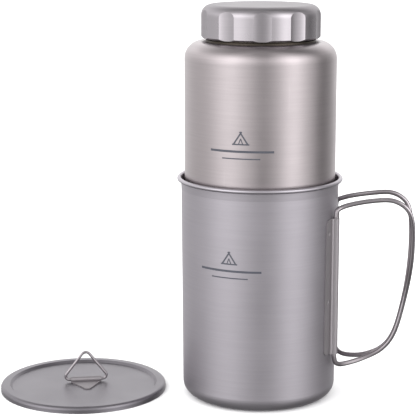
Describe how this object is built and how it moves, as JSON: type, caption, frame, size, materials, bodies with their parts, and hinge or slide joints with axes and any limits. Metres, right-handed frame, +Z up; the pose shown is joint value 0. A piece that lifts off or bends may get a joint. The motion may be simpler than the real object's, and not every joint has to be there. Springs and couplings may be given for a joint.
{
  "type": "camping cook pot set",
  "caption": "Tall sheet-metal camp pot with folding wire wing handles, a wide-mouth screw-cap bottle nested in it, and a pressed lid with a folding ring.",
  "frame": {"origin": "on the pot's axis, at the ground under its floor", "axes": "+Z up along the axis that pot, bottle and cap share; +X along the middle plane of the open wire handle; the lid lies on the ground on the -X side"},
  "size_m": [0.2543, 0.1055, 0.2386],
  "materials": {
    "titanium_pot": "sandblasted satin",
    "titanium_bottle": "sandblasted satin",
    "titanium_cap": "sandblasted satin",
    "titanium_lid": "sandblasted satin",
    "titanium_fitting": "satin",
    "titanium_wire": "drawn wire, semi-bright",
    "liner_plastic": "matte",
    "seal_silicone": "translucent matte"
  },
  "bodies": {
    "pot": {"pot_shell": "titanium_pot", "handle_bracket": "titanium_fitting"},
    "front_wing": {"wing_front": "titanium_wire"},
    "rear_wing": {"wing_rear": "titanium_wire"},
    "bottle": {"bottle_body": "titanium_bottle", "bottle_pan": "titanium_bottle", "neck_ring": "titanium_bottle"},
    "seal": {"cap_seal": "seal_silicone"},
    "cap": {"cap_shell": "titanium_cap", "cap_liner": "liner_plastic"},
    "lid": {"lid_plate": "titanium_lid", "ring_clip": "titanium_fitting"},
    "ring": {"lid_ring": "titanium_wire"}
  },
  "joints": [
    {"name": "front_wing_fold", "type": "hinge", "parent": "pot", "child": "front_wing", "pos_m": [0.0464, -0.017, 0.0715], "axis": [0, 0, 1], "range_deg": [-125, 0]},
    {"name": "rear_wing_fold", "type": "hinge", "parent": "pot", "child": "rear_wing", "pos_m": [0.0464, 0.017, 0.0715], "axis": [0, 0, 1], "range_deg": [0, 125]},
    {"name": "bottle_lift", "type": "slide", "parent": "pot", "child": "bottle", "axis": [0, 0, 1], "range_m": [-0.0503, 0.095]},
    {"name": "cap_rise", "type": "slide", "parent": "bottle", "child": "seal", "axis": [0, 0, 1], "range_m": [0, 0.0061]},
    {"name": "cap_turn", "type": "hinge", "parent": "seal", "child": "cap", "pos_m": [0, 0, 0.23], "axis": [0, 0, 1], "range_deg": [0, 540]},
    {"name": "lid_lift", "type": "slide", "parent": "pot", "child": "lid", "axis": [0, 0, 1], "range_m": [0, 0.15]},
    {"name": "ring_fold", "type": "hinge", "parent": "lid", "child": "ring", "pos_m": [-0.10823, -0.00028, 0.00417], "axis": [0.9744, 0.225, 0], "range_deg": [-85, 85]}
  ],
  "couplings": [
    {"joint": "cap_rise", "follows": "cap_turn", "m_per_rad": 0.00063662}
  ]
}
